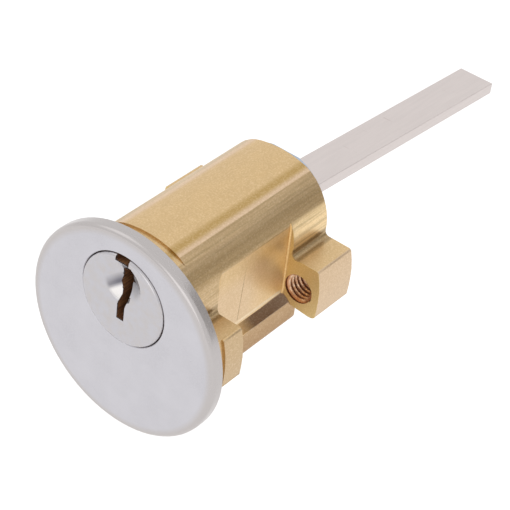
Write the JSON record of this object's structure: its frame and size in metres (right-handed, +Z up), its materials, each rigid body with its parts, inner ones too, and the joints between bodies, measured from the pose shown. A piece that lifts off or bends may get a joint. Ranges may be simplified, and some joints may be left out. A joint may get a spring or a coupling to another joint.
{
  "type": "rim cylinder",
  "caption": "Round-faced pin-tumbler cylinder for a rim latch: brass body with threaded side lugs, turning keyed plug and a flat tail bar.",
  "frame": {"origin": "on the axis of the round face, in the plane of its back, which lies on the door", "axes": "+Y into the door along the body and the tail bar, +Z up with the plug above the axis and the pins below it, +X right-handed with them"},
  "size_m": [0.034, 0.0885, 0.034],
  "materials": {
    "machined_brass": "bare milled brass",
    "pin_brass": "bare turned brass",
    "satin_chrome": "satin plated, finely brushed",
    "zinc_plated_steel": "blue zinc plate",
    "tail_steel": "nickel-plated strip with fine scratches",
    "spring_steel": "drawn wire"
  },
  "bodies": {
    "housing": {"cylinder_body": "machined_brass", "face_disc": "satin_chrome", "chamber_cover": "machined_brass"},
    "plug": {"plug": "satin_chrome", "retaining_plate": "zinc_plated_steel", "plate_screw_upper": "zinc_plated_steel", "plate_screw_lower": "zinc_plated_steel"},
    "tail": {"tail_bar": "tail_steel"},
    "key_pin_1": {"key_pin_1": "pin_brass"},
    "driver_1": {"driver_pin_1": "zinc_plated_steel", "spring_1": "spring_steel"},
    "key_pin_2": {"key_pin_2": "pin_brass"},
    "driver_2": {"driver_pin_2": "zinc_plated_steel", "spring_2": "spring_steel"},
    "key_pin_3": {"key_pin_3": "pin_brass"},
    "driver_3": {"driver_pin_3": "zinc_plated_steel", "spring_3": "spring_steel"},
    "key_pin_4": {"key_pin_4": "pin_brass"},
    "driver_4": {"driver_pin_4": "zinc_plated_steel", "spring_4": "spring_steel"},
    "key_pin_5": {"key_pin_5": "pin_brass"},
    "driver_5": {"driver_pin_5": "zinc_plated_steel", "spring_5": "spring_steel"}
  },
  "joints": [
    {"name": "plug_turn", "type": "hinge", "parent": "housing", "child": "plug", "pos_m": [0, 0, 0.0061], "axis": [0, 1, 0], "continuous": true},
    {"name": "tail_rock", "type": "hinge", "parent": "plug", "child": "tail", "pos_m": [-0.00018, 0.0303, 0.00644], "axis": [1, 0, 0], "range_deg": [-4, 5]},
    {"name": "key_pin_slide_1", "type": "slide", "parent": "plug", "child": "key_pin_1", "axis": [0, 0, 1], "range_m": [0, 0.002]},
    {"name": "key_pin_slide_2", "type": "slide", "parent": "plug", "child": "key_pin_2", "axis": [0, 0, 1], "range_m": [0, 0.002]},
    {"name": "key_pin_slide_3", "type": "slide", "parent": "plug", "child": "key_pin_3", "axis": [0, 0, 1], "range_m": [0, 0.002]},
    {"name": "key_pin_slide_4", "type": "slide", "parent": "plug", "child": "key_pin_4", "axis": [0, 0, 1], "range_m": [0, 0.002]},
    {"name": "key_pin_slide_5", "type": "slide", "parent": "plug", "child": "key_pin_5", "axis": [0, 0, 1], "range_m": [0, 0.002]},
    {"name": "driver_slide_1", "type": "slide", "parent": "housing", "child": "driver_1", "axis": [0, 0, 1], "range_m": [-0.0015, 0], "stiffness_N_per_m": 120, "springref_m": 0.003, "deforming": ["spring_1"]},
    {"name": "driver_slide_2", "type": "slide", "parent": "housing", "child": "driver_2", "axis": [0, 0, 1], "range_m": [-0.0015, 0], "stiffness_N_per_m": 120, "springref_m": 0.003, "deforming": ["spring_2"]},
    {"name": "driver_slide_3", "type": "slide", "parent": "housing", "child": "driver_3", "axis": [0, 0, 1], "range_m": [-0.0015, 0], "stiffness_N_per_m": 120, "springref_m": 0.003, "deforming": ["spring_3"]},
    {"name": "driver_slide_4", "type": "slide", "parent": "housing", "child": "driver_4", "axis": [0, 0, 1], "range_m": [-0.0015, 0], "stiffness_N_per_m": 120, "springref_m": 0.003, "deforming": ["spring_4"]},
    {"name": "driver_slide_5", "type": "slide", "parent": "housing", "child": "driver_5", "axis": [0, 0, 1], "range_m": [-0.0015, 0], "stiffness_N_per_m": 120, "springref_m": 0.003, "deforming": ["spring_5"]}
  ]
}
